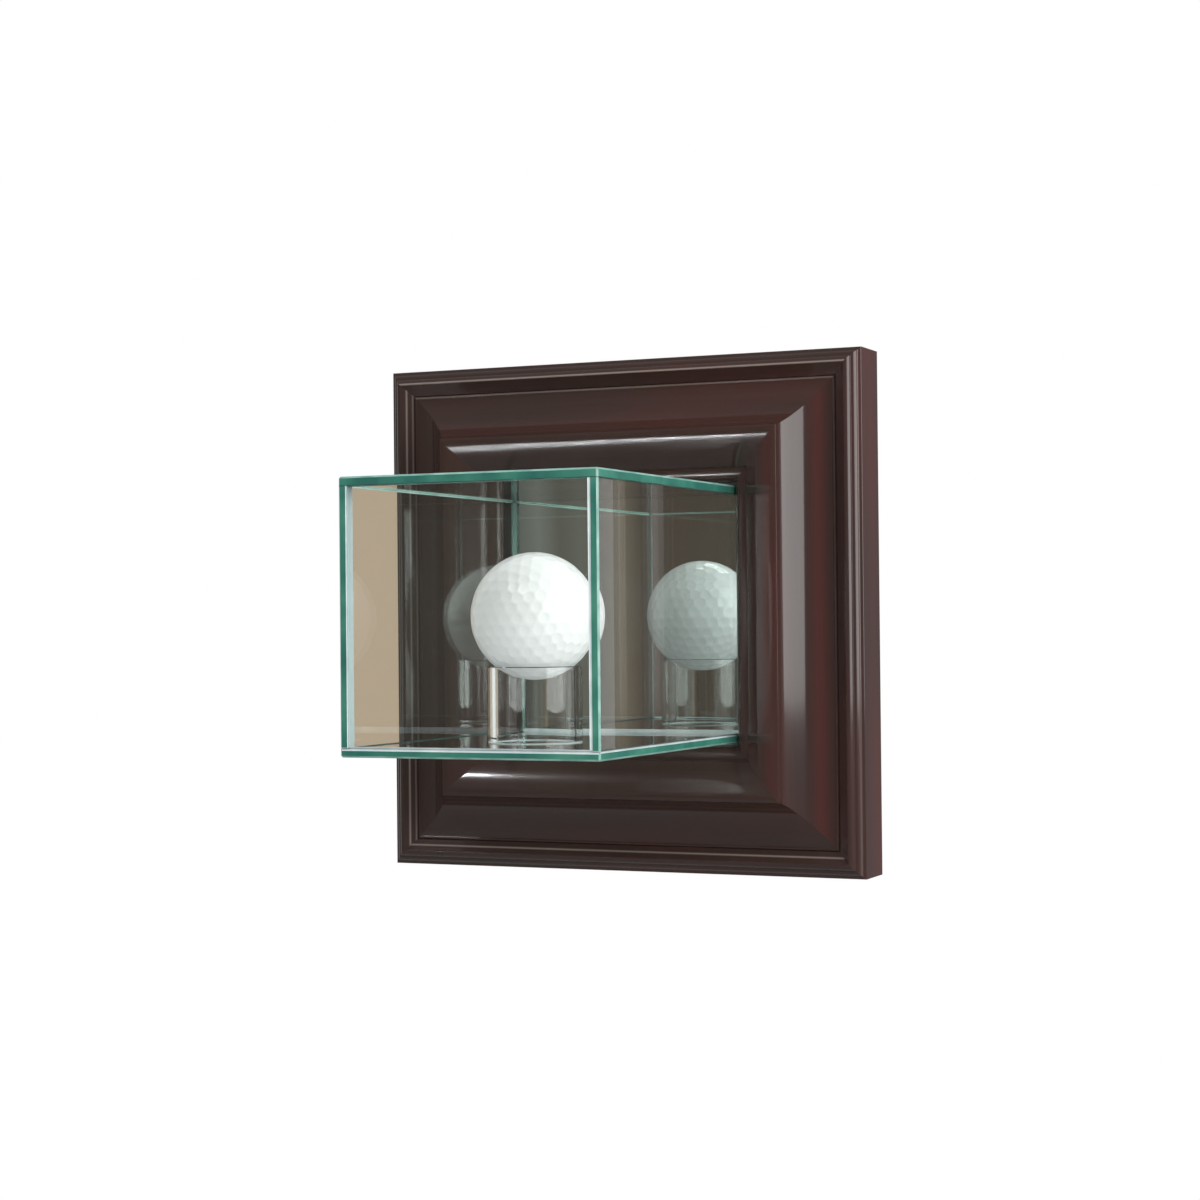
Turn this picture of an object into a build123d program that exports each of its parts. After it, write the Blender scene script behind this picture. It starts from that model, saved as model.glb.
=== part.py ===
"""Wall-hung golf ball display case: a mitred wooden frame that carries a glass box with a mirror back.

Millimetres. +X is to the right and +Z is up for a person facing the wall, and +Y points into the wall.
The origin lies in the wall plane, midway between the entry holes of the two hanger plates.
The case stands out of the wall towards -Y.
"""
from build123d import *
import os
from math import sqrt

# ---------------------------------------------------------------- driving dimensions
FRAME_SIZE = 184.0  # outside of the square frame, 7 1/4 in
OPENING = 93.0  # square sight opening of the frame
HANGER_RISE = 68.5  # entry holes of the hanger plates above the middle of the case

GLASS = 3.0  # thickness of every pane
BOX_WIDTH = 91.8  # outside of the glass box
BOX_HEIGHT = 90.6
BOX_FRONT = 139.1  # front face of the glass, from the wall
GLASS_ARRIS = 0.6  # ground corners of the panes
ARRIS = 0.3  # broken corners of the other pieces

RABBET_DEPTH = 14.4  # step in the rails' backs that takes the mirror and the board
RABBET_WIDTH = 6.5
MIRROR = 3.0
BOARD = 6.0
PANEL_PLAY = 0.5  # gap round the mirror and the board
LEDGE_GAP = 0.1  # gap between the mirror's face and the rabbet
GLASS_GAP = 0.2  # gap between the panes' back edges and the mirror

BALL_RADIUS = 21.35  # golf ball, 42.7 mm across
RISER_RADIUS = 15.875  # clear tube, 1 1/4 in across and 1 in tall
RISER_BORE = 13.35
RISER_HEIGHT = 25.4
RISER_X = -0.5  # the tube stands a little left of the middle and in front of it
RISER_Y = -87.0
BALL_GAP = 0.1  # the ball clears the rim of the tube by this much

# ---------------------------------------------------------------- moulding profile
# Each point is (distance inwards from the frame's outer edge, height above the wall).
SIDE_HEIGHT = 18.2  # flat outer side
REED_START = (1.2, 18.8)
REED_COUNT = 2
REED_STEP = (1.85, 1.85)  # each reed stands this much further in and higher
REED_BULGE = 0.45
FILLET_END = (5.2, 22.5)  # narrow flat inside the reeds
HOLLOW_SAG = -0.12
HOLLOW_END = (9.2, 18.9)  # nearly flat slope that falls to the quirk
QUIRK = (9.5, 18.4)
PEARL_TOP = (9.95, 19.1)  # hair-thin bead between the quirk and the broad cove
FIELD_START = (10.5, 18.8)
COVE_MIDDLE = (18.5, 21.3)
COVE_END = (26.4, 30.1)
ROLL_START = (26.7, 32.1)  # the cove ends in a small upright step
ROLL_TOP = (28.0, 32.3)
ROLL_TURN = (29.9, 31.9)
SHOULDER_BULGE = 0.52
SHOULDER_END = (40.3, 25.0)
LIP_START = (40.6, 24.3)
LIP_MIDDLE = (43.4, 23.7)
LIP_HEIGHT = 21.4  # sight edge, next to the glass

# ---------------------------------------------------------------- hardware
BUTTON_WIDTH = 9.0
BUTTON_REACH = 18.0  # from the screw to the tip
BUTTON_THICK = 1.5
BUTTON_SEAT = 0.2  # the button floats this much above its pocket
BUTTON_BORE = 1.48
PIVOT_INSET = 6.0  # screw of a button, outside the rabbet's edge
POCKET_MARGIN = 2.0
SCREW_RADIUS = 1.4
PILOT_RADIUS = 1.45
PAN_RADIUS = 3.0
PAN_HEIGHT = 1.45
PAN_EDGE = 0.9
HEAD_GAP = 0.05
BUTTON_SCREW_LENGTH = 11.0
RECESS_WIDTH = 0.7  # cross recess of the screws
RECESS_LENGTH = 3.2
RECESS_DEPTH = 0.8

HANGER_SPACING = 90.0
PLATE_LENGTH = 34.0
PLATE_WIDTH = 15.0
PLATE_THICK = 1.6
PLATE_PLAY = 0.15
PLATE_MIDDLE = 72.5  # middle of a plate above the middle of the case
ENTRY_RADIUS = 4.75
SLOT_WIDTH = 4.8
SLOT_TRAVEL = 9.0  # from the entry hole up to where the wall screw rests
HEAD_ROOM_WIDTH = 11.5  # hollow behind a plate for the wall screw's head
HEAD_ROOM_DEPTH = 6.0
PLATE_SCREW_SPACING = 25.0
COUNTERSINK_RADIUS = 2.8
PLATE_SCREW_LENGTH = 12.0

NAIL_LEG = 4.0  # V-shaped corner nails, driven in flush from behind
NAIL_THICK = 0.6
NAIL_DEPTH = 7.0
NAIL_PLACES = (66.0, 80.0)  # apex of each V from the middle of the case, sideways and up

SEAL_FRONT = 20.0  # front of the bedding strips, from the wall
SEAL_BACK = 14.7
SEAL_JOINT = 0.2  # gap where an upright strip meets a level one

# ---------------------------------------------------------------- worked out from the above
HALF = FRAME_SIZE / 2
SIGHT = OPENING / 2
RAIL_WIDTH = HALF - SIGHT
RABBET_EDGE = SIGHT + RABBET_WIDTH
PIVOT = RABBET_EDGE + PIVOT_INSET
MIRROR_FACE = RABBET_DEPTH - LEDGE_GAP
BOARD_FACE = MIRROR_FACE - MIRROR
POCKET_DEPTH = BOARD_FACE - BOARD  # the buttons' pockets end level with the back of the board
PANEL_SIZE = 2 * (RABBET_EDGE - PANEL_PLAY)
GLASS_BACK = MIRROR_FACE + GLASS_GAP
MIDDLE = Vector(0, 0, -HANGER_RISE)
FLOOR_Z = MIDDLE.Z - BOX_HEIGHT / 2 + GLASS
RISER_TOP = FLOOR_Z + RISER_HEIGHT
BALL_Z = RISER_TOP + sqrt(BALL_RADIUS**2 - RISER_BORE**2) + BALL_GAP

TURNS = {"top": 0, "right": 90, "bottom": 180, "left": 270}  # degrees about +Y

os.makedirs("parts", exist_ok=True)


def side_plane(side, height=0.0):
    """A plane over the wall seen from behind: local Y points out to one side, local Z into the wall."""
    along = Vector(-1, 0, 0).rotate(Axis.Y, TURNS[side])
    return Plane(origin=MIDDLE - Vector(0, height, 0), x_dir=along, z_dir=(0, 1, 0))


def save(piece, name):
    piece.part.label = name
    export_step(piece.part, f"parts/{name}.step")


def cross_recess(plane):
    """Cuts the cross for a driver into a screw head that ends at this plane."""
    with BuildSketch(plane) as cross:
        Rectangle(RECESS_LENGTH, RECESS_WIDTH)
        Rectangle(RECESS_WIDTH, RECESS_LENGTH)
    extrude(cross.sketch, amount=-RECESS_DEPTH, mode=Mode.SUBTRACT)


# ---------------------------------------------------------------- corner nails
with BuildPart() as corner_v_nails:
    for side in TURNS:
        with BuildSketch(side_plane(side)):
            for place in NAIL_PLACES:
                with BuildLine():
                    Polyline(
                        (place, place),
                        (place - NAIL_LEG, place),
                        (place - NAIL_LEG, place - NAIL_THICK),
                        (place - NAIL_THICK, place - NAIL_THICK),
                        (place - NAIL_THICK, place - NAIL_LEG),
                        (place, place - NAIL_LEG),
                        close=True,
                    )
                make_face()
        extrude(amount=-NAIL_DEPTH)
save(corner_v_nails, "corner_v_nails")


# ---------------------------------------------------------------- frame
def moulding_outline():
    """The section of a rail, from the back outer corner round the face to the rabbet."""
    side = Line((0, 0), (0, SIDE_HEIGHT))
    end = Line(side @ 1, REED_START)
    for _ in range(REED_COUNT):
        start = end @ 1
        end = SagittaArc(start, start + Vector(*REED_STEP), REED_BULGE)
    fillet_flat = Line(end @ 1, FILLET_END)
    SagittaArc(fillet_flat @ 1, HOLLOW_END, HOLLOW_SAG)
    Line(HOLLOW_END, QUIRK)
    ThreePointArc(QUIRK, PEARL_TOP, FIELD_START)
    ThreePointArc(FIELD_START, COVE_MIDDLE, COVE_END)
    Line(COVE_END, ROLL_START)
    ThreePointArc(ROLL_START, ROLL_TOP, ROLL_TURN)
    SagittaArc(ROLL_TURN, SHOULDER_END, SHOULDER_BULGE)
    Line(SHOULDER_END, LIP_START)
    lip = ThreePointArc(LIP_START, LIP_MIDDLE, (RAIL_WIDTH, LIP_HEIGHT))
    rabbet_corner = RAIL_WIDTH - RABBET_WIDTH
    Polyline(
        lip @ 1,
        (RAIL_WIDTH, RABBET_DEPTH),
        (rabbet_corner, RABBET_DEPTH),
        (rabbet_corner, 0),
        (0, 0),
    )


def cut_hanger_pockets():
    """Cuts a flush seat for each plate in the top rail's back, a hollow behind it and two pilot holes."""
    for x in (-HANGER_SPACING / 2, HANGER_SPACING / 2):
        with BuildSketch(side_plane("top")) as seat:
            with Locations((x, PLATE_MIDDLE)):
                SlotOverall(PLATE_LENGTH + 2 * PLATE_PLAY, PLATE_WIDTH + 2 * PLATE_PLAY, rotation=90)
        extrude(seat.sketch, amount=-PLATE_THICK, mode=Mode.SUBTRACT)
        with BuildSketch(side_plane("top", PLATE_THICK)) as head_room:
            with Locations((x, HANGER_RISE + SLOT_TRAVEL / 2)):
                SlotOverall(SLOT_TRAVEL + HEAD_ROOM_WIDTH, HEAD_ROOM_WIDTH, rotation=90)
        extrude(head_room.sketch, amount=-HEAD_ROOM_DEPTH, mode=Mode.SUBTRACT)
        with BuildSketch(side_plane("top", PLATE_THICK)) as pilots:
            with Locations((x, PLATE_MIDDLE)):
                with GridLocations(0, PLATE_SCREW_SPACING, 1, 2):
                    Circle(PILOT_RADIUS)
        extrude(pilots.sketch, amount=-PLATE_SCREW_LENGTH, mode=Mode.SUBTRACT)


for side in TURNS:
    back = side_plane(side)
    section = Plane(
        origin=back.from_local_coords((0, HALF, 0)), x_dir=-back.y_dir, z_dir=back.x_dir
    )
    with BuildPart() as rail:
        with BuildSketch(section):
            with BuildLine():
                moulding_outline()
            make_face()
        extrude(amount=HALF, both=True)
        for across in (-1, 1):
            mitre = Plane(origin=MIDDLE, z_dir=back.y_dir + back.x_dir * across)
            split(bisect_by=mitre, keep=Keep.TOP)
        with BuildSketch(back):
            with Locations((POCKET_MARGIN / 2 + (BUTTON_REACH - PIVOT_INSET) / 2, PIVOT)):
                Rectangle(BUTTON_REACH + PIVOT_INSET + POCKET_MARGIN, 2 * PIVOT_INSET)
        extrude(amount=-POCKET_DEPTH, mode=Mode.SUBTRACT)
        with BuildSketch(side_plane(side, POCKET_DEPTH)):
            with Locations((0, PIVOT)):
                Circle(PILOT_RADIUS)
        extrude(amount=-BUTTON_SCREW_LENGTH, mode=Mode.SUBTRACT)
        if side == "top":
            cut_hanger_pockets()
        add(corner_v_nails.part, mode=Mode.SUBTRACT)
    save(rail, f"{side}_rail")


# ---------------------------------------------------------------- glass box
def save_pane(name, low, high):
    """A pane between two corners given from the middle of the case, with its corners ground."""
    size = [b - a for a, b in zip(low, high)]
    centre = [(a + b) / 2 for a, b in zip(low, high)]
    with BuildPart() as pane:
        with Locations(MIDDLE + Vector(*centre)):
            Box(*size)
        chamfer(pane.edges(), length=GLASS_ARRIS)
    save(pane, name)


half_w, half_h = BOX_WIDTH / 2, BOX_HEIGHT / 2
inner_w, inner_h = half_w - GLASS, half_h - GLASS
save_pane("top_pane", (-half_w, -BOX_FRONT, inner_h), (half_w, -GLASS_BACK, half_h))
save_pane("bottom_pane", (-half_w, -BOX_FRONT, -half_h), (half_w, -GLASS_BACK, -inner_h))
save_pane("left_pane", (-half_w, -BOX_FRONT, -inner_h), (-inner_w, -GLASS_BACK, inner_h))
save_pane("right_pane", (inner_w, -BOX_FRONT, -inner_h), (half_w, -GLASS_BACK, inner_h))
save_pane(
    "front_pane", (-inner_w, -BOX_FRONT, -inner_h), (inner_w, GLASS - BOX_FRONT, inner_h)
)

# Four strips of clear silicone bed the glass box in the frame's opening.
with BuildPart() as glazing_seal:
    for up in (-1, 1):
        thick = SIGHT - half_h
        with BuildSketch(side_plane("top", SEAL_BACK)):
            with Locations((0, up * (half_h + thick / 2))):
                Rectangle(OPENING, thick)
        extrude(amount=SEAL_BACK - SEAL_FRONT)
    for across in (-1, 1):
        thick = SIGHT - half_w
        with BuildSketch(side_plane("top", SEAL_BACK)):
            with Locations((across * (half_w + thick / 2), 0)):
                Rectangle(thick, BOX_HEIGHT - 2 * SEAL_JOINT)
        extrude(amount=SEAL_BACK - SEAL_FRONT)
save(glazing_seal, "glazing_seal")


# ---------------------------------------------------------------- back panel
def save_panel(name, face, thick):
    """A square plate that fits the rabbet, its front face this far above the wall."""
    with BuildPart() as panel:
        with BuildSketch(side_plane("top", face)):
            Rectangle(PANEL_SIZE, PANEL_SIZE)
        extrude(amount=thick)
        chamfer(panel.edges(), length=ARRIS)
    save(panel, name)


save_panel("mirror", MIRROR_FACE, MIRROR)
save_panel("backing_board", BOARD_FACE, BOARD)


# ---------------------------------------------------------------- turn buttons and their screws
button_under = POCKET_DEPTH - BUTTON_SEAT
button_top = button_under - BUTTON_THICK
head_under = button_top - HEAD_GAP
head_top = head_under - PAN_HEIGHT

# Each button is drawn turned aside, along its rail. A quarter turn brings its tip over the board.
for side in TURNS:
    with BuildPart() as turn_button:
        with BuildSketch(side_plane(side, button_under)):
            with Locations(((BUTTON_REACH - BUTTON_WIDTH / 2) / 2, PIVOT)):
                SlotOverall(BUTTON_REACH + BUTTON_WIDTH / 2, BUTTON_WIDTH)
            with Locations((0, PIVOT)):
                Circle(BUTTON_BORE, mode=Mode.SUBTRACT)
        extrude(amount=BUTTON_THICK)
        rim = turn_button.faces().sort_by(Axis.Y)[-1].outer_wire().edges()
        chamfer(rim, length=ARRIS)
    save(turn_button, f"turn_button_{side}")

with BuildPart() as turn_button_screws:
    for side in TURNS:
        with BuildSketch(side_plane(side, head_under)):
            with Locations((0, PIVOT)):
                Circle(PAN_RADIUS)
        extrude(amount=PAN_HEIGHT)
        with BuildSketch(side_plane(side, head_under)):
            with Locations((0, PIVOT)):
                Circle(SCREW_RADIUS)
        extrude(amount=head_under - POCKET_DEPTH - BUTTON_SCREW_LENGTH + HEAD_GAP)
    crowns = turn_button_screws.edges().filter_by(GeomType.CIRCLE).group_by(Axis.Y)[-1]
    fillet(crowns, radius=PAN_EDGE)
    for side in TURNS:
        crown = side_plane(side, head_top)
        cross_recess(Plane(crown.from_local_coords((0, PIVOT, 0)), crown.x_dir, crown.z_dir))
save(turn_button_screws, "turn_button_screws")


# ---------------------------------------------------------------- hanger plates and their screws
def plate_screw_places(x):
    """Middle points of a plate's two screws, on the back plane."""
    return [(x, PLATE_MIDDLE + up * PLATE_SCREW_SPACING / 2) for up in (-1, 1)]


countersink_depth = COUNTERSINK_RADIUS - SCREW_RADIUS
hanger_x = {"left": HANGER_SPACING / 2, "right": -HANGER_SPACING / 2}
for name, x in hanger_x.items():
    with BuildPart() as hanger_plate:
        with BuildSketch(side_plane("top", PLATE_THICK)):
            with Locations((x, PLATE_MIDDLE)):
                SlotOverall(PLATE_LENGTH, PLATE_WIDTH, rotation=90)
            with Locations((x, HANGER_RISE)):
                Circle(ENTRY_RADIUS, mode=Mode.SUBTRACT)
            with Locations((x, HANGER_RISE + SLOT_TRAVEL / 2)):
                SlotCenterToCenter(SLOT_TRAVEL, SLOT_WIDTH, rotation=90, mode=Mode.SUBTRACT)
            with Locations(*plate_screw_places(x)):
                Circle(PILOT_RADIUS, mode=Mode.SUBTRACT)
        extrude(amount=PLATE_THICK)
        for place in plate_screw_places(x):
            with BuildSketch(side_plane("top")):
                with Locations(place):
                    Circle(COUNTERSINK_RADIUS + PILOT_RADIUS - SCREW_RADIUS)
            with BuildSketch(side_plane("top", countersink_depth)):
                with Locations(place):
                    Circle(PILOT_RADIUS)
            loft(mode=Mode.SUBTRACT)
    save(hanger_plate, f"hanger_plate_{name}")

with BuildPart() as hanger_screws:
    for x in hanger_x.values():
        for place in plate_screw_places(x):
            with BuildSketch(side_plane("top", HEAD_GAP)):
                with Locations(place):
                    Circle(COUNTERSINK_RADIUS)
            with BuildSketch(side_plane("top", HEAD_GAP + countersink_depth)):
                with Locations(place):
                    Circle(SCREW_RADIUS)
            loft()
            with BuildSketch(side_plane("top", HEAD_GAP + countersink_depth)):
                with Locations(place):
                    Circle(SCREW_RADIUS)
            extrude(amount=countersink_depth - PLATE_SCREW_LENGTH)
            face = side_plane("top", HEAD_GAP)
            cross_recess(Plane(face.from_local_coords((*place, 0)), face.x_dir, face.z_dir))
save(hanger_screws, "hanger_screws")


# ---------------------------------------------------------------- riser and ball
with BuildPart() as riser:
    with BuildSketch(Plane.XY.offset(FLOOR_Z)):
        with Locations((RISER_X, RISER_Y)):
            Circle(RISER_RADIUS)
            Circle(RISER_BORE, mode=Mode.SUBTRACT)
    extrude(amount=RISER_HEIGHT)
    outer_rims = riser.edges().filter_by(GeomType.CIRCLE).group_by(SortBy.RADIUS)[-1]
    chamfer(outer_rims, length=ARRIS)
save(riser, "riser")

with BuildPart() as golf_ball:
    with Locations((RISER_X, RISER_Y, BALL_Z)):
        Sphere(BALL_RADIUS)
save(golf_ball, "golf_ball")
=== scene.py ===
"""Wall-hung golf ball display case: the finish of its frame, glass box, mirror, tube, ball and back.

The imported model's frame: +X to the right, +Z up, +Y into the wall. Sizes below are written in millimetres
and turned into metres as each mesh is made; lamps are placed and sized in metres.
"""
from itertools import combinations
from math import cos, pi, radians, sin, sqrt

import bmesh
import bpy
import numpy as np
from mathutils import Matrix, Vector


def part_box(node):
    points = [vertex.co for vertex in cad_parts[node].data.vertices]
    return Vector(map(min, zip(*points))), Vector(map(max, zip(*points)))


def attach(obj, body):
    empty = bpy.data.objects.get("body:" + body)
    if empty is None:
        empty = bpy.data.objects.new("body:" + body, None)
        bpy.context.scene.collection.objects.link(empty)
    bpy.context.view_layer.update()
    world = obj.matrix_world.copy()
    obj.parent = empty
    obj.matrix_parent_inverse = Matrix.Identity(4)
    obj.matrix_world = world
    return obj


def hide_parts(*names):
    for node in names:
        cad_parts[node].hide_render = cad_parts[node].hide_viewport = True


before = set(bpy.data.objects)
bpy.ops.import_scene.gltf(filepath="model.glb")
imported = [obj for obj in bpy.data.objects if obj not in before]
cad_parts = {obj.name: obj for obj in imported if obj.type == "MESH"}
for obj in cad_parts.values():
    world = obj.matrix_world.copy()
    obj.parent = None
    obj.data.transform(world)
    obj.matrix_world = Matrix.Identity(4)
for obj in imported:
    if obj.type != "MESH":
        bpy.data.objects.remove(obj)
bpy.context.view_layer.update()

MM = 0.001
X, Y, Z = 0, 1, 2


def in_mm(corners):
    """The two corners of a box, from metres to millimetres."""
    return [np.array(corner) / MM for corner in corners]


# ---------------------------------------------------------------- sizes read from the frame
SIDES = ("top", "right", "bottom", "left")
rail_low, rail_high = in_mm(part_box("top_rail"))
HALF = (rail_high[X] - rail_low[X]) / 2
RAIL_WIDTH = rail_high[Z] - rail_low[Z]
MIDDLE = np.array([0.0, 0.0, rail_high[Z] - HALF])  # of the frame, in the wall plane

# ---------------------------------------------------------------- moulding profile
# Each point is (distance inwards from the frame's outer edge, height above the wall).
SIDE_HEIGHT = 18.2  # flat outer side
REED_START = (1.2, 18.8)
REED_COUNT = 2
REED_STEP = (1.85, 1.85)  # each reed stands this much further in and higher
REED_BULGE = 0.45
FILLET_END = (5.2, 22.5)  # narrow flat inside the reeds
HOLLOW_SAG = -0.12
HOLLOW_END = (9.2, 18.9)  # nearly flat slope that falls to the quirk
QUIRK = (9.5, 18.4)
PEARL_TOP = (9.95, 19.1)  # hair-thin bead between the quirk and the broad cove
FIELD_START = (10.5, 18.8)
COVE_MIDDLE = (18.5, 21.3)
COVE_END = (26.4, 30.1)
ROLL_START = (26.7, 32.1)  # the cove ends in a small upright step
ROLL_TOP = (28.0, 32.3)
ROLL_TURN = (29.9, 31.9)
SHOULDER_BULGE = 0.52
SHOULDER_END = (40.3, 25.0)
LIP_START = (40.6, 24.3)
LIP_MIDDLE = (43.4, 23.7)
LIP_HEIGHT = 21.4  # sight edge, next to the glass
RABBET_DEPTH = 14.4
RABBET_WIDTH = 6.5

OUTLINE_STEP = 0.06  # spacing of the points along the profile before it is eased
LACQUER_EASE = 0.45  # the lacquer rounds every arris over this length
OUTLINE_KEEP = 3  # every third point stays
SAME_POINT = 1e-9  # points closer than this are one
RAIL_CREASE = radians(32)  # an edge that turns more than this stays crisp

# (distance inwards, half width, strength) of painted highlights: thin pale lines along the profile ...
PAINTED_HIGHLIGHT_LINES = {
    "top": ((4.85, 0.26, 0.66), (10.0, 0.26, 0.26)), "right": ((1.3, 0.26, 0.15), (9.9, 0.26, 0.05)),
    "bottom": ((7.3, 0.26, 0.52),), "left": ((7.0, 0.24, 0.42), (8.8, 0.24, 0.22)),
}
PAINTED_HIGHLIGHT_TONE = (0.40, 0.33, 0.29, 1)
# ... and of painted light: lighter, redder bands beside the key lamp's highlight, most on the right rail
PAINTED_LIGHT_BANDS = {
    "top": ((24.0, 3.0, 0.25),), "right": ((15.5, 2.6, 0.65), (30.5, 2.6, 0.5)), "bottom": (), "left": (),
}
PAINTED_LIGHT_TONE = (0.100, 0.030, 0.026, 1)

# ---------------------------------------------------------------- wood
# The grain is three noises: (name, waves a metre along and across the rail, detail).
GRAIN = (
    ("Bands", (6.0, 38.0, 38.0), 1.5),
    ("Fibres", (45.0, 1500.0, 1500.0), 2.0),
    ("Pores", (130.0, 2600.0, 2600.0), 1.0),
)
GRAIN_SHIFT = 1.3  # the grain of each rail is moved this much from the one before
ROUTED_SHIFT = 3.7
# Stain of the rails, from dark to red; the right rail is the redder one.
BROWN = ((0.036, 0.0225, 0.0190), (0.043, 0.0240, 0.0195), (0.066, 0.0245, 0.0200))
RED = ((0.045, 0.0265, 0.0235), (0.056, 0.0280, 0.0245), (0.096, 0.0290, 0.0250))
STAIN_STOPS = (0.32, 0.52, 0.74)  # where each of the three tones lies in the bands
FIBRE_TONES = ((0.34, (0.90, 0.89, 0.89)), (0.56, (1.0, 1.0, 1.0)))
FIBRE_SHARE = 0.5  # of the fibres' tones in the stain
LACQUER_BANDS = (0.3, 0.7)  # part of the bands over which the roughness changes ...
LACQUER_ROUGH = (0.18, 0.22)  # ... from one of these to the other
ROUTED_TONES = ((0.35, (0.30, 0.17, 0.085)), (0.65, (0.47, 0.30, 0.17)))

# ---------------------------------------------------------------- what is cut out of the frame's back
PIVOT = 59.0  # screw of a turn button, from the middle of the case
POCKET_SIZE = (26.0, 12.0)
POCKET_SHIFT = 7.0  # middle of a pocket, back along the rail from the screw
POCKET_DEPTH = 5.3
PILOT_RADIUS = 1.45
BUTTON_PILOT_DEPTH = 16.3
HANGER_X = 45.0  # hanger plates, to each side of the middle
PLATE_MIDDLE = 72.5  # these two are heights above the middle of the case
HEAD_ROOM_RISE = 73.0
SEAT_SIZE = (34.3, 15.3)  # of a hanger plate
SEAT_DEPTH = 1.6
HEAD_ROOM_SIZE = (20.5, 11.5)  # hollow behind a plate for the wall screw's head
HEAD_ROOM_DEPTH = 7.6
PLATE_SCREW_SPACING = 25.0
PLATE_PILOT_DEPTH = 13.6
NAIL_LEG = 4.0
NAIL_THICK = 0.6
NAIL_DEPTH = 7.0
NAIL_PLACES = (66.0, 80.0)  # apex of each V from the middle of the case, sideways and up
CUT_START = 1.0  # every cut starts this far outside the back

# ---------------------------------------------------------------- glass, tube and ball
GLASS_ARRIS = 0.6  # ground corners of the panes
BOND = 0.03  # clear bond between two panes
CLOSED = (0.15, "dim")  # width and finish of a tight joint
ARRIS = 0.3  # broken corners of the mirror and the tube
MIRROR_LINE = 1.2  # width of the pale line of painted light at the mirror's foot and right

RISER_WALL = 2.525
RISER_AROUND = 160  # faces round the tube
FOOT_FACES = 3  # rings of faces at the tube's foot
RISER_CREASE = radians(25)

TIP_COUNT = 12  # corners of an icosahedron
NEIGHBOURS = 0.4  # cosine that only tips next to each other pass
DIMPLE_FREQUENCY = 6  # 10 n^2 + 2 dimples
DIMPLE_RADIUS = 1.78
DIMPLE_DEPTH = 0.19
BOWL_POWER = 0.75  # of the parabola that each dimple is
RIM_RISE = 6  # a dimple's rim rises over a sixth of its radius
DIMPLE_TURNS = (0.5, 0.35)  # of the pattern, about X and Z
BALL_GRID = 96  # faces along each side of the cube that the ball comes from
BALL_CREASE = radians(80)

# ---------------------------------------------------------------- camera, solved from the straight edges
FRAME_PIXELS = 1200.0
FOCAL_PIXELS = 2413.6
SENSOR = 36.0
CAMERA_FROM_MIDDLE = np.array([348.0, -815.7, -2.99])
CAMERA_YAW = 0.41947  # the turns are in radians
CAMERA_PITCH = 0.00989
CAMERA_ROLL = -0.00945
CAMERA_CLIP = (0.05, 50)  # metres

# ---------------------------------------------------------------- lamps, room and floor
# An azimuth of 0 is straight in front and 90 to the right.
KEY = dict(azimuth=78, elevation=22, distance=1.6, size=(1.6, 1.5), power=25)

WHITE = (1, 1, 1, 1)
DAYLIGHT = (0.58, 0.58, 0.59, 1)  # on matt surfaces
OVERHEAD = (0.22, 0.20, 0.20, 1)  # this and the next two show in gloss
BEHIND_RIGHT = (0.14, 0.12, 0.12, 1)
BEHIND_LEFT = (0.34, 0.34, 0.34, 1)
TAN_WALL = (-0.451, 0.8925, 0.0)  # toward the tan wall beside the case
TAN = (0.60, 0.455, 0.335, 1)
# Parts of a unit direction between which one tone gives way to the next
BEHIND_FADE = (-0.25, 0.35)  # along Y
LEFT_FADE = (0.2, -0.5)  # along X
OVERHEAD_FADE = (0.25, 0.6)  # along Z
WALL_FADE = (0.80, 0.86)  # toward the tan wall
# (sideways part of the direction, tone) of upright stripes in the room in front
ROOM_STRIPES = (
    (-1.0, (0.16, 0.14, 0.12)), (-0.60, (0.13, 0.11, 0.09)), (-0.441, (0.10, 0.09, 0.08)),
    (-0.436, (0.16, 0.16, 0.15)), (-0.4335, (0.46, 0.46, 0.44)), (-0.4295, (0.20, 0.19, 0.17)),
    (-0.4265, (0.38, 0.37, 0.33)), (-0.423, (0.13, 0.115, 0.10)), (-0.416, (0.19, 0.175, 0.15)),
    (-0.408, (0.10, 0.09, 0.085)), (-0.402, (0.33, 0.25, 0.19)), (-0.3955, (0.27, 0.20, 0.155)),
    (-0.3925, (0.14, 0.10, 0.09)), (-0.385, (0.11, 0.085, 0.07)), (-0.35, (0.13, 0.10, 0.08)),
    (0.2, (0.11, 0.085, 0.072)), (1.0, (0.13, 0.12, 0.11)),
)
FLOOR_REACH = 6000.0
FLOOR_LEVEL = -1300.0
FLOOR_IN_GLOSS = 0.24  # strength of the floor where gloss shows it


# ================================================================ meshes
def new_piece(name, body, points, faces, materials, indices=None, replaced=(), sharp=None):
    """A piece from points in millimetres and faces; it rides on a body and stands for CAD nodes.

    indices gives each face its material. With sharp, an angle, the piece is smooth but for edges past it.
    """
    mesh = bpy.data.meshes.new(name)
    mesh.from_pydata((np.asarray(points, float) * MM).tolist(), [], [list(map(int, f)) for f in faces])
    for material in materials:
        mesh.materials.append(material)
    if indices is not None:
        mesh.polygons.foreach_set("material_index", np.asarray(indices, np.int32))
    mesh.polygons.foreach_set("use_smooth", np.full(len(mesh.polygons), sharp is not None))
    mesh.update()
    if sharp is not None:
        mesh.set_sharp_from_angle(angle=sharp)
    piece = bpy.data.objects.new(name, mesh)
    bpy.context.scene.collection.objects.link(piece)
    if body:
        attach(piece, body)
    if replaced:
        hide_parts(*replaced)
    return piece


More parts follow.
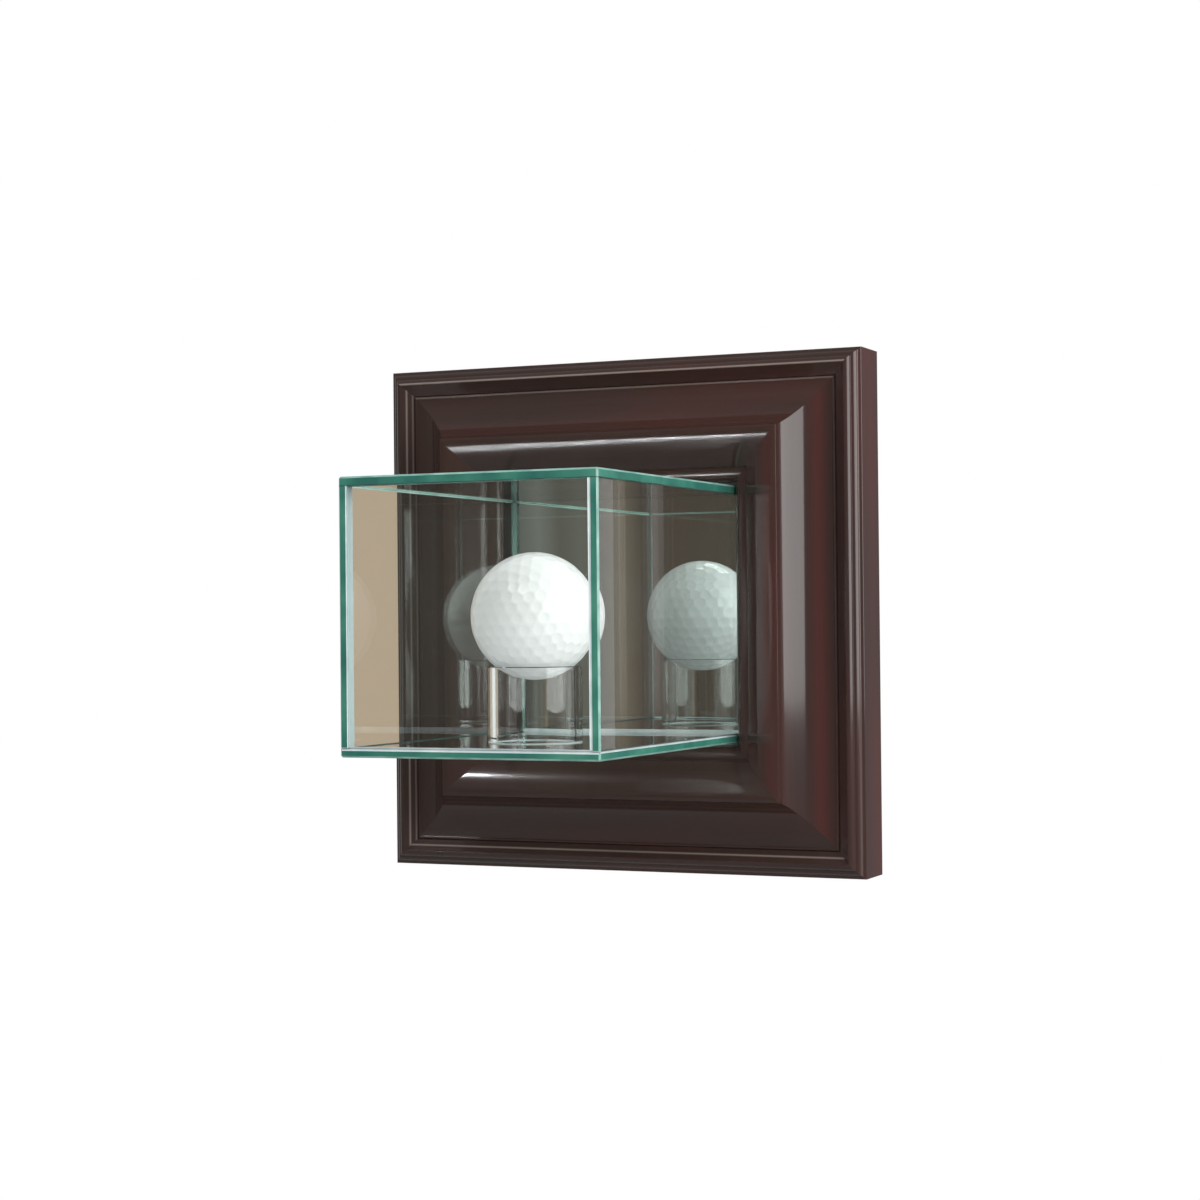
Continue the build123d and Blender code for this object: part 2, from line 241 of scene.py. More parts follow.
def arc_through(start, middle, end, count=60):
    """Points on the circle through three points, from the first to the last."""
    a, b, c = (np.array(p, float) for p in (start, middle, end))
    d = 2 * (a[0] * (b[1] - c[1]) + b[0] * (c[1] - a[1]) + c[0] * (a[1] - b[1]))
    ux = (a @ a) * (b[1] - c[1]) + (b @ b) * (c[1] - a[1]) + (c @ c) * (a[1] - b[1])
    uy = (a @ a) * (c[0] - b[0]) + (b @ b) * (a[0] - c[0]) + (c @ c) * (b[0] - a[0])
    centre = np.array([ux, uy]) / d
    angles = np.unwrap([np.arctan2(*(p - centre)[::-1]) for p in (a, b, c)])
    turn = np.linspace(angles[0], angles[2], count)
    return centre + np.hypot(*(a - centre)) * np.stack([np.cos(turn), np.sin(turn)], 1)


def bulged(start, end, sag):
    """An arc between two points; a positive sag bulges to the left of travel."""
    a, b = np.array(start, float), np.array(end, float)
    along = (b - a) / np.hypot(*(b - a))
    return arc_through(a, (a + b) / 2 + sag * np.array([-along[1], along[0]]), b)


def moulding_outline():
    """The rail's closed section, spaced evenly and then averaged along itself, which rounds each arris."""
    runs = [[(0, 0), (0, SIDE_HEIGHT), REED_START]]
    start = np.array(REED_START)
    for _ in range(REED_COUNT):
        runs.append(bulged(start, start + REED_STEP, REED_BULGE))
        start = start + REED_STEP
    inner = RAIL_WIDTH - RABBET_WIDTH
    runs += [
        [FILLET_END],
        bulged(FILLET_END, HOLLOW_END, HOLLOW_SAG),
        arc_through(QUIRK, PEARL_TOP, FIELD_START),
        arc_through(FIELD_START, COVE_MIDDLE, COVE_END),
        arc_through(ROLL_START, ROLL_TOP, ROLL_TURN),
        bulged(ROLL_TURN, SHOULDER_END, SHOULDER_BULGE),
        arc_through(LIP_START, LIP_MIDDLE, (RAIL_WIDTH, LIP_HEIGHT)),
        [(RAIL_WIDTH, RABBET_DEPTH), (inner, RABBET_DEPTH), (inner, 0), (0, 0)],
    ]
    corners = np.concatenate([np.asarray(run, float) for run in runs])
    lengths = np.hypot(*np.diff(corners, axis=0).T)
    corners = corners[np.concatenate([[True], lengths > SAME_POINT])]
    travelled = np.concatenate([[0], np.cumsum(np.hypot(*np.diff(corners, axis=0).T))])
    count = int(travelled[-1] / OUTLINE_STEP)
    places = np.arange(count) * travelled[-1] / count
    even = np.stack([np.interp(places, travelled, corners[:, k]) for k in (0, 1)], 1)
    half = int(LACQUER_EASE / OUTLINE_STEP / 2)
    window = np.hanning(2 * half + 3)[1:-1]  # its two ends are zero
    wrapped = np.concatenate([even[-half:], even, even[:half]])
    eased = np.stack([np.convolve(wrapped[:, k], window / window.sum(), "valid") for k in (0, 1)], 1)
    return eased[::OUTLINE_KEEP]


def side_axes(side):
    """Unit vectors outwards and along the rail for one side of the frame."""
    turn = radians(90 * SIDES.index(side))
    outwards = np.array([sin(turn), 0, cos(turn)])
    return outwards, np.array([cos(turn), 0, -sin(turn)])


def rail_points(side):
    """The section carried along a rail between its two mitres: along = +-(distance from the middle)."""
    outline = moulding_outline()
    outwards, along = side_axes(side)
    reach = HALF - outline[:, :1]
    rise = outline[:, 1:] * np.array([0, -1.0, 0])
    ends = [MIDDLE + reach * outwards + end * reach * along + rise for end in (-1, 1)]
    return np.concatenate(ends), len(outline)


def prism(outline, depth):
    """A closed prism over an outline in the (x, z) plane, from just outside the back to a depth in it."""
    outline = np.asarray(outline, float)
    count = len(outline)
    area = np.sum(outline[:, 0] * np.roll(outline[:, 1], -1) - np.roll(outline[:, 0], -1) * outline[:, 1])
    if area > 0:
        outline = outline[::-1]
    rings = [np.stack([outline[:, 0], np.full(count, y), outline[:, 1]], 1) for y in (-depth, CUT_START)]
    a = np.arange(count)
    b = (a + 1) % count
    walls = np.stack([a, b, b + count, a + count], 1).tolist()
    return np.concatenate(rings), walls + [list(a[::-1]), list(a + count)]


def stadium(size, centre, count=24):
    """An upright slot: two half circles, half the width in radius, at the ends of its length."""
    length, width = size
    turn = np.linspace(-pi / 2, pi / 2, count)
    cap = np.stack([np.cos(turn), np.sin(turn)], 1) * width / 2 + [(length - width) / 2, 0]
    ring = np.concatenate([cap, -cap])
    return ring[:, ::-1] + centre


def pilot_hole(centre, count=28):
    """The circle of a screw's pilot hole."""
    turn = np.arange(count) * 2 * pi / count
    return PILOT_RADIUS * np.stack([np.cos(turn), np.sin(turn)], 1) + centre


def joined(solids):
    """Several closed solids as one set of points and faces."""
    points, faces, offset = [], [], 0
    for p, f in solids:
        points.append(p)
        faces += [[i + offset for i in face] for face in f]
        offset += len(p)
    return np.concatenate(points), faces


def on_side(side, outline):
    """An outline given as (along, out) on one side of the frame, in the (x, z) plane of the case."""
    outwards, along = side_axes(side)
    outline = np.asarray(outline, float)
    place = MIDDLE + outline[:, :1] * along + outline[:, 1:] * outwards
    return place[:, [X, Z]]


def pocket_outline():
    """The oblong of a turn button's pocket, in (along, out)."""
    length, width = POCKET_SIZE
    near, far = length / 2 - POCKET_SHIFT, -length / 2 - POCKET_SHIFT
    low, high = PIVOT - width / 2, PIVOT + width / 2
    return [(near, low), (far, low), (far, high), (near, high)]


def nail_outline(place, hand):
    """The V of a corner nail, in (along, out); hand is the end of the rail."""
    inner = place - NAIL_LEG
    thin = place - NAIL_THICK
    corners = [(place, place), (inner, place), (inner, thin), (thin, thin), (thin, inner), (place, inner)]
    return [(hand * along, out) for along, out in corners]


def back_cutters(side):
    """Shallow and deep solids that are cut out of a rail's back."""
    shallow = [(pocket_outline(), POCKET_DEPTH)]
    for place in NAIL_PLACES:
        shallow += [(nail_outline(place, hand), NAIL_DEPTH) for hand in (-1, 1)]
    deep = [(pilot_hole((0, PIVOT)), BUTTON_PILOT_DEPTH)]
    if side == "top":
        for x in (-HANGER_X, HANGER_X):
            shallow.append((stadium(SEAT_SIZE, (x, PLATE_MIDDLE)), SEAT_DEPTH))
            deep.append((stadium(HEAD_ROOM_SIZE, (x, HEAD_ROOM_RISE)), HEAD_ROOM_DEPTH))
            for up in (-1, 1):
                centre = (x, PLATE_MIDDLE + up * PLATE_SCREW_SPACING / 2)
                deep.append((pilot_hole(centre), PLATE_PILOT_DEPTH))
    return [[prism(on_side(side, outline), depth) for outline, depth in cuts] for cuts in (shallow, deep)]


def cut_away(piece, solids, material):
    """Cuts closed solids out of a piece; the cut faces have the material given."""
    points, faces = joined(solids)
    cutter = new_piece(piece.name + "_cutter", None, points, faces, [material])
    modifier = piece.modifiers.new("cut", "BOOLEAN")
    modifier.operation = "DIFFERENCE"
    modifier.solver = "EXACT"
    modifier.material_mode = "TRANSFER"
    modifier.object = cutter
    baked = bpy.data.meshes.new_from_object(piece.evaluated_get(bpy.context.evaluated_depsgraph_get()))
    piece.modifiers.clear()
    old = piece.data
    baked.name = old.name
    piece.data = baked
    bpy.data.meshes.remove(old)
    used = cutter.data
    bpy.data.objects.remove(cutter)
    bpy.data.meshes.remove(used)


def mark_bands(piece, attribute, bands, side):
    """Writes a mask over the rail's front: a sum of bells over the distance in from the edge."""
    mesh = piece.data
    places = np.empty(len(mesh.vertices) * 3)
    mesh.vertices.foreach_get("co", places)
    places = places.reshape(-1, 3) / MM - MIDDLE
    inwards = HALF - places @ side_axes(side)[0]
    mask = np.zeros(len(places))
    for place, width, strength in bands[side]:
        mask += strength * np.exp(-(((inwards - place) / width) ** 2))
    mask[-places[:, Y] < RABBET_DEPTH] = 0
    mesh.attributes.new(attribute, "FLOAT", "POINT").data.foreach_set("value", mask.astype(np.float32))


def make_rail(side, wood, bare):
    """A rail: the moulding between its mitres, less what is cut out of its back."""
    points, count = rail_points(side)
    a = np.arange(count)
    b = (a + 1) % count
    walls = np.stack([a, a + count, b + count, b], 1).tolist()
    faces = walls + [a.tolist(), (a[::-1] + count).tolist()]
    piece = new_piece(
        f"{side}_moulding", "case", points, faces, [wood], replaced=[f"{side}_rail"]
    )
    for solids in back_cutters(side):
        cut_away(piece, solids, bare)
    piece.data.shade_smooth()
    piece.data.set_sharp_from_angle(angle=RAIL_CREASE)
    # Painted highlights: a mask of thin pale lines along the profile.
    mark_bands(piece, "rubbed", PAINTED_HIGHLIGHT_LINES, side)
    # Painted light: a mask of lighter, redder bands along the profile.
    mark_bands(piece, "warm", PAINTED_LIGHT_BANDS, side)


def chamfered_box(low, high, chamfers):
    """A box whose every corner has three points, one on each face that meets there.

    chamfers is an array [direction of the edge, end on the next axis, end on the one after]. Each face comes
    back with a key: (axis, end) for the six sides, (axis, end, end) for an edge's flat, None for a corner.
    """
    low, high = np.asarray(low, float), np.asarray(high, float)
    signs = np.array([[sx, sy, sz] for sx in (0, 1) for sy in (0, 1) for sz in (0, 1)])
    corners = np.where(signs, high, low)
    points = []
    for axis in (X, Y, Z):
        moved = corners.copy()
        for other in {X, Y, Z} - {axis}:
            along = 3 - axis - other
            cut = chamfers[along, signs[:, (along + 1) % 3], signs[:, (along + 2) % 3]]
            moved[:, other] += np.where(signs[:, other], -cut, cut)
        points.append(moved)
    points = np.concatenate(points)

    def index(sign, axis):
        """The point on the face across an axis, at the corner with these three ends."""
        return axis * 8 + sign[X] * 4 + sign[Y] * 2 + sign[Z]

    round_a_face = ((0, 0), (1, 0), (1, 1), (0, 1))
    faces, keys = [], []
    for axis in (X, Y, Z):
        p, q = (axis + 1) % 3, (axis + 2) % 3
        for end in (0, 1):
            ring = []
            for sp, sq in round_a_face:
                sign = [0, 0, 0]
                sign[axis], sign[p], sign[q] = end, sp, sq
                ring.append(index(sign, axis))
            faces.append(ring if end else ring[::-1])
            keys.append((axis, end))
    for axis in (X, Y, Z):
        p, q = (axis + 1) % 3, (axis + 2) % 3
        for sp, sq in round_a_face:
            ends = []
            for end in (0, 1):
                sign = [0, 0, 0]
                sign[axis], sign[p], sign[q] = end, sp, sq
                ends.append((index(sign, p), index(sign, q)))
            ring = [ends[0][0], ends[0][1], ends[1][1], ends[1][0]]
            faces.append(ring if sp == sq else ring[::-1])
            keys.append((axis, sp, sq))
    for sign in signs:
        ring = [index(sign, axis) for axis in (X, Y, Z)]
        faces.append(ring if sum(sign) % 2 else ring[::-1])
        keys.append(None)
    return points, faces, keys


def make_pane(name, shrink, bonded, sides):
    """A pane with clear faces; its ground edges and bonded edges each have their own width and finish.

    bonded maps an edge (direction, end, end) to (width, finish); the other edges are open, ground flats.
    sides maps (axis, end) to a finish; the other narrow sides are open green edges.
    """
    low, high = in_mm(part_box(name))
    thick = int(np.argmin(high - low))
    low, high = low + shrink, high - shrink
    chamfers = np.full((3, 2, 2), GLASS_ARRIS)
    for edge, (width, _) in bonded.items():
        chamfers[edge] = width
    points, faces, keys = chamfered_box(low, high, chamfers)
    finishes = []
    for key in keys:
        if key is None:
            finishes.append("arris")
        elif len(key) == 3:
            finishes.append(bonded[key][1] if key in bonded else "arris")
        else:
            finishes.append("clear" if key[0] == thick else sides.get(key, "green"))
    names = list(GLASS)
    indices = [names.index(finish) for finish in finishes]
    new_piece(f"{name}_glass", "case", points, faces, list(GLASS.values()), indices, [name])


def make_mirror(silver, edge, paint, line):
    """The mirror: silver at its face, ground edges, backing paint, and a pale line along two sides.

    The pale line at the foot and the right, MIRROR_LINE wide, is painted light where the panes' back edges
    meet it.
    """
    materials = [silver, edge, paint, line]
    low, high = in_mm(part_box("mirror"))
    points, faces, keys = chamfered_box(low, high, np.full((3, 2, 2), ARRIS))
    large = {(Y, 0): materials.index(silver), (Y, 1): materials.index(paint)}
    indices = [large.get(key, materials.index(edge)) for key in keys]
    piece = new_piece(
        "mirror_plate", "back_panel", points, faces, materials, indices, ["mirror"]
    )
    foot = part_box("bottom_pane")[1][2] + MIRROR_LINE * MM
    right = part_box("right_pane")[0][0] - MIRROR_LINE * MM
    shape = bmesh.new()
    shape.from_mesh(piece.data)
    for place, normal in (((0, 0, foot), (0, 0, 1)), ((right, 0, 0), (1, 0, 0))):
        whole = shape.verts[:] + shape.edges[:] + shape.faces[:]
        bmesh.ops.bisect_plane(shape, geom=whole, plane_co=place, plane_no=normal)
    for face in shape.faces:
        middle = face.calc_center_median()
        if face.material_index == materials.index(silver) and (middle.z < foot or middle.x > right):
            face.material_index = materials.index(line)
    shape.to_mesh(piece.data)
    shape.free()


def make_riser(clear, ground):
    """The clear tube: its wall section, with broken rims, turned about its axis; its pale foot is painted
    light.
    """
    low, high = in_mm(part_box("riser"))
    axis = (low + high) / 2
    outer = (high[X] - low[X]) / 2
    inner = outer - RISER_WALL
    half_arris = ARRIS / 2  # the bore's rims are broken half as much
    section = np.array([
        (inner, low[Z] + half_arris), (inner + half_arris, low[Z]), (outer - ARRIS, low[Z]),
        (outer, low[Z] + ARRIS), (outer, high[Z] - ARRIS), (outer - ARRIS, high[Z]),
        (inner + half_arris, high[Z]), (inner, high[Z] - half_arris),
    ])
    count, around = len(section), RISER_AROUND
    turn = np.arange(around) * 2 * pi / around
    x = axis[X] + section[:, 0, None] * np.cos(turn)
    y = axis[Y] + section[:, 0, None] * np.sin(turn)
    z = np.repeat(section[:, 1, None], around, 1)
    points = np.stack([x, y, z], 2).reshape(-1, 3)
    i, j = np.meshgrid(np.arange(count), np.arange(around), indexing="ij")
    i2, j2 = (i + 1) % count, (j + 1) % around
    faces = np.stack([i * around + j, i * around + j2, i2 * around + j2, i2 * around + j], 2).reshape(-1, 4)
    # Painted light: the foot's rings take a pale tone for the bright band that refraction makes there.
    indices = np.repeat(np.arange(count) < FOOT_FACES, around).astype(int)
    materials = [clear, ground]
    new_piece(
        "clear_riser", "case", points, faces, materials, indices, ["riser"], RISER_CREASE
    )


def dimple_centres():
    """Unit vectors: an icosahedron's faces are divided evenly and their points thrown out to a sphere."""
    golden = (1 + sqrt(5)) / 2
    tips = []
    for s in (-1, 1):
        for t in (-golden, golden):
            tips += [(0, s, t), (s, t, 0), (t, 0, s)]
    tips = np.array(tips, float)
    tips /= np.linalg.norm(tips[0])
    near = tips @ tips.T > NEIGHBOURS
    found = []
    n = DIMPLE_FREQUENCY
    for i, j, k in combinations(range(TIP_COUNT), 3):
        if near[i, j] and near[j, k] and near[i, k]:
            for a in range(n + 1):
                for b in range(n + 1 - a):
                    p = a * tips[i] + b * tips[j] + (n - a - b) * tips[k]
                    found.append(p / np.linalg.norm(p))
    return np.unique(np.round(found, 6), axis=0)


def make_ball(cover):
    """A cube's grid thrown out to the sphere and sunk by a smooth bowl at each dimple."""
    low, high = in_mm(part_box("golf_ball"))
    centre, radius = (low + high) / 2, (high[Z] - low[Z]) / 2
    side = np.tan(np.linspace(-pi / 4, pi / 4, BALL_GRID + 1))
    u, v = np.meshgrid(side, side, indexing="ij")
    points, faces = [], []
    quad = np.arange(BALL_GRID)
    i, j = np.meshgrid(quad, quad, indexing="ij")
    corner = (i * (BALL_GRID + 1) + j).ravel()
    ring = np.stack([corner, corner + BALL_GRID + 1, corner + BALL_GRID + 2, corner + 1], 1)
    for axis in (X, Y, Z):
        for end in (-1, 1):
            grid = np.zeros(u.shape + (3,))
            grid[..., axis], grid[..., (axis + 1) % 3], grid[..., (axis + 2) % 3] = end, u, v
            faces.append((ring if end > 0 else ring[:, ::-1]) + len(points) * u.size)
            points.append(grid.reshape(-1, 3))
    points = np.concatenate(points)
    points /= np.linalg.norm(points, axis=1)[:, None]
    _, first, back = np.unique(np.round(points, 7), axis=0, return_index=True, return_inverse=True)
    faces = back.ravel()[np.concatenate(faces)]
    points = points[first]
    about_x, about_z = DIMPLE_TURNS
    tilt = np.array(Matrix.Rotation(about_x, 3, "X") @ Matrix.Rotation(about_z, 3, "Z"))
    closest = (points @ (dimple_centres() @ tilt).T).max(1)
    away = np.arccos(np.clip(closest, -1, 1)) * radius / DIMPLE_RADIUS
    bowl = np.clip(1 - away**2, 0, None)
    depth = DIMPLE_DEPTH * bowl**BOWL_POWER * np.sqrt(np.clip((1 - away) * RIM_RISE, 0, 1))
    shape = centre + points * (radius - depth)[:, None]
    new_piece("dimpled_ball", "ball", shape, faces, [cover], None, ["golf_ball"], BALL_CREASE)


# ================================================================ shader helpers
def node(tree, kind, inputs=(), **values):
    """Adds a node, sets its own properties and then its unlinked inputs, or links them."""
    made = tree.nodes.new(kind)
    for key, value in values.items():
        setattr(made, key, value)
    for key, value in dict(inputs).items():
        socket = made.inputs[key]
        if isinstance(value, bpy.types.NodeSocket):
            tree.links.new(value, socket)
        else:
            socket.default_value = value
    return made


def ramp(tree, source, stops):
    """A colour ramp over (place, colour) stops."""
    made = node(tree, "ShaderNodeValToRGB", {"Fac": source})
    elements = made.color_ramp.elements
    while len(elements) < len(stops):
        elements.new(0.5)
    for element, (place, colour) in zip(elements, stops):
        element.position = place
        element.color = (*colour, 1)
    return made.outputs["Color"]


def mixed(tree, factor, first, second, blend="MIX"):
    """The colour between two others, each a socket or a tone."""
    made = node(
        tree, "ShaderNodeMix", {"Factor": factor, 6: first, 7: second}, data_type="RGBA", blend_type=blend
    )
    return made.outputs[2]


def faded(tree, value, ends, to=(0, 1), shape="LINEAR"):
    """How far a value has come from one end to the other, as a number between two others."""
    made = node(tree, "ShaderNodeMapRange", {
        "Value": value, "From Min": ends[0], "From Max": ends[1], "To Min": to[0], "To Max": to[1],
    }, interpolation_type=shape)
    return made.outputs[0]


def worked_out(tree, operation, first, second):
    """The result of a sum over two numbers."""
    return node(tree, "ShaderNodeMath", {0: first, 1: second}, operation=operation).outputs[0]


def noise(tree, place, scale, detail):
    """A noise over places; the scale is in waves a metre."""
    made = node(tree, "ShaderNodeTexNoise", {"Vector": place, "Scale": scale, "Detail": detail})
    return made.outputs["Fac"]


def bumped(tree, height, strength, distance):
    """The normal of a surface with a little relief; the distance is in metres."""
    return node(tree, "ShaderNodeBump", {
        "Height": height, "Strength": strength, "Distance": distance,
    }).outputs[0]


def principled(tree, **inputs):
    """A Principled BSDF; an input's name has _ for each space."""
    named = {key.replace("_", " "): value for key, value in inputs.items()}
    return node(tree, "ShaderNodeBsdfPrincipled", named)


def either(tree, factor, first, second):
    """A mix of two shaders."""
    return node(tree, "ShaderNodeMixShader", {0: factor, 1: first.outputs[0], 2: second.outputs[0]})


def new_material(name):
    """An empty material and its nodes."""
    made = bpy.data.materials.new(name)
    made.use_nodes = True
    made.node_tree.nodes.clear()
    return made, made.node_tree


def places(tree):
    """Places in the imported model's frame, in metres."""
    return node(tree, "ShaderNodeTexCoord").outputs["Object"]


def surface(tree, shader):
    """Makes a shader the surface of its material."""
    node(tree, "ShaderNodeOutputMaterial", {"Surface": shader.outputs[0]})


def new_group(name, inputs, outputs):
    """A shader node group with named sockets: (name, socket type, value) in and (name, socket type) out."""
    group = bpy.data.node_groups.new(name, "ShaderNodeTree")
    for socket, kind, value in inputs:
        made = group.interface.new_socket(socket, in_out="INPUT", socket_type=kind)
        if value is not None:
            made.default_value = value
    for socket, kind in outputs:
        group.interface.new_socket(socket, in_out="OUTPUT", socket_type=kind)
    return group, group.nodes.new("NodeGroupInput").outputs, group.nodes.new("NodeGroupOutput").inputs


def grain_group():
    """Wood grain: noise drawn out along local X, in broad bands, fine fibres and dark pores."""
    group, given, out = new_group(
        "wood_grain",
        [("Vector", "NodeSocketVector", None), ("Seed", "NodeSocketFloat", 0.0)],
        [(socket, "NodeSocketFloat") for socket, _, _ in GRAIN],
    )
    shift = node(group, "ShaderNodeCombineXYZ", {"X": given["Seed"], "Y": given["Seed"], "Z": 0.0})
    place = node(group, "ShaderNodeVectorMath", {0: given["Vector"], 1: shift.outputs[0]}, operation="ADD")
    for socket, stretch, detail in GRAIN:
        drawn = node(group, "ShaderNodeMapping", {"Vector": place.outputs[0], "Scale": stretch})
        group.links.new(noise(group, drawn.outputs[0], scale=1.0, detail=detail), out[socket])
    return group


def grained(tree, place, seed):
    """The grain group's bands, fibres and pores at a place."""
    return node(tree, "ShaderNodeGroup", {"Vector": place, "Seed": seed}, node_tree=WOOD_GRAIN).outputs


# ================================================================ materials
def lacquered_wood(name, turn, seed, tones):
    """Dark cherry lacquer over straight grain that runs along the rail, in three tones from dark to red."""
    made, tree = new_material(name)
    turned = node(tree, "ShaderNodeMapping", {"Vector": places(tree), "Rotation": (0, turn, 0)})
    grain = grained(tree, turned.outputs[0], seed)
    stain = ramp(tree, grain["Bands"], list(zip(STAIN_STOPS, tones)))
    # Painted light: the mask of bands mixes a lighter, redder tone into the stain.
    warm = node(tree, "ShaderNodeAttribute", attribute_name="warm").outputs["Fac"]
    fibres = ramp(tree, grain["Fibres"], FIBRE_TONES)
    wood = mixed(tree, FIBRE_SHARE, mixed(tree, warm, stain, PAINTED_LIGHT_TONE), fibres, "MULTIPLY")
    # Painted highlights: the mask of pale lines mixes a light tone into the wood.
    rubbed = node(tree, "ShaderNodeAttribute", attribute_name="rubbed").outputs["Fac"]
    height = worked_out(tree, "ADD", grain["Fibres"], grain["Pores"])
    surface(tree, principled(
        tree, Base_Color=mixed(tree, rubbed, wood, PAINTED_HIGHLIGHT_TONE),
        Roughness=faded(tree, grain["Bands"], LACQUER_BANDS, LACQUER_ROUGH),
        Normal=bumped(tree, height, strength=0.004, distance=0.0002),
        Specular_IOR_Level=0.15, Coat_Weight=1.0, Coat_Roughness=0.08,
    ))
    return made


def bare_wood():
    """Unfinished wood where the pockets were routed."""
    made, tree = new_material("routed_wood")
    grain = grained(tree, places(tree), ROUTED_SHIFT)
    tone = ramp(tree, grain["Fibres"], ROUTED_TONES)
    relief = bumped(tree, grain["Pores"], strength=0.3, distance=0.0002)
    surface(tree, principled(tree, Base_Color=tone, Roughness=0.7, Normal=relief))
    return made


def clear_material(name, tint, shadow, ior, rough=0.0):
    """Clear glass or plastic that lets the lamps through."""
    made, tree = new_material(name)
    shader = principled(tree, Base_Color=(*tint, 1), IOR=ior, Roughness=rough, Transmission_Weight=1.0)
    lets_through = node(tree, "ShaderNodeBsdfTransparent", {"Color": (*shadow, 1)})
    in_shadow = node(tree, "ShaderNodeLightPath").outputs["Is Shadow Ray"]
    surface(tree, either(tree, in_shadow, shader, lets_through))
    return made


def ground_glass(name, dark, middle, light, inside, scale, rough):
    """A ground edge or flat in three mottled tones, with a tone of its own where it is seen from within."""
    made, tree = new_material(name)
    mottle = noise(tree, places(tree), scale, detail=3.0)
    tone = ramp(tree, mottle, [(0.35, dark), (0.5, middle), (0.68, light)])
    within = node(tree, "ShaderNodeNewGeometry").outputs["Backfacing"]
    colour = mixed(tree, within, tone, (*inside, 1))
    surface(tree, principled(tree, Base_Color=colour, Roughness=rough, IOR=1.5))
    return made


def mirror_silver():
    """A mirror's silver, seen through green glass."""
    made, tree = new_material("mirror_silver")
    surface(tree, principled(tree, Base_Color=(0.78, 0.87, 0.84, 1), Metallic=1.0, Roughness=0.0))
    return made


def plain_finish(name, light, dark, scale, rough, bump=0.0, metallic=0.0, coat=0.0):
    """A finish of two close tones mottled by noise, with a little relief."""
    made, tree = new_material(name)
    mottle = noise(tree, places(tree), scale, detail=4.0)
    surface(tree, principled(
        tree, Base_Color=ramp(tree, mottle, [(0.3, dark), (0.7, light)]), Roughness=rough, Metallic=metallic,
        Coat_Weight=coat, Coat_Roughness=0.08, Normal=bumped(tree, mottle, bump, distance=0.0003),
    ))
    return made


# ================================================================ camera, lamps, room and floor
def make_camera():
    """The photograph's camera: yaw to the left of +Y, pitch above level, then roll."""
    data = bpy.data.cameras.new("camera")
    data.sensor_width = SENSOR
    data.lens = SENSOR * FOCAL_PIXELS / FRAME_PIXELS
    data.clip_start, data.clip_end = CAMERA_CLIP
    camera = bpy.data.objects.new("camera", data)
    bpy.context.scene.collection.objects.link(camera)
    level = cos(CAMERA_PITCH)
    ahead = Vector((-sin(CAMERA_YAW) * level, cos(CAMERA_YAW) * level, sin(CAMERA_PITCH)))
    right = Vector((cos(CAMERA_YAW), sin(CAMERA_YAW), 0))
    up = right.cross(ahead)
    rolled_right = right * cos(CAMERA_ROLL) + up * sin(CAMERA_ROLL)
    rolled_up = up * cos(CAMERA_ROLL) - right * sin(CAMERA_ROLL)
    turn = Matrix((rolled_right, rolled_up, -ahead)).transposed()
    place = Vector((MIDDLE + CAMERA_FROM_MIDDLE) * MM)
    camera.matrix_world = Matrix.Translation(place) @ turn.to_4x4()
    bpy.context.scene.camera = camera


def soft_box(name, azimuth, elevation, distance, size, power, only=None, glossy=True):
    """An area lamp that faces the middle of the case; its angles are in degrees.

    A piece named in only is all that it lights and all that stands in its way. Where it isn't glossy, no
    reflection shows it.
    """
    data = bpy.data.lights.new(name, "AREA")
    data.shape = "RECTANGLE"
    data.size, data.size_y = size
    data.energy = power
    lamp = bpy.data.objects.new(name, data)
    bpy.context.scene.collection.objects.link(lamp)
    a, e = radians(azimuth), radians(elevation)
    away = Vector((sin(a) * cos(e), -cos(a) * cos(e), sin(e)))
    lamp.location = Vector(MIDDLE * MM) + away * distance
    lamp.rotation_mode = "QUATERNION"
    lamp.rotation_quaternion = away.to_track_quat("Z", "Y")
    lamp.visible_glossy = glossy
    if only:
        lit = bpy.data.collections.new(f"lit_by_{name}")
        lit.objects.link(bpy.data.objects[only])
        lamp.light_linking.receiver_collection = lit
        lamp.light_linking.blocker_collection = lit
        data.cycles.use_multiple_importance_sampling = False  # its highlight shows through glass then
    return lamp


def shade_from(lamp, name):
    """Takes one piece out of a lamp's light."""
    shaded = bpy.data.collections.new(f"shaded_from_{lamp.name}")
    shaded.objects.link(bpy.data.objects[name])
    lamp.light_linking.receiver_collection = shaded
    shaded.collection_objects[0].light_linking.link_state = "EXCLUDE"


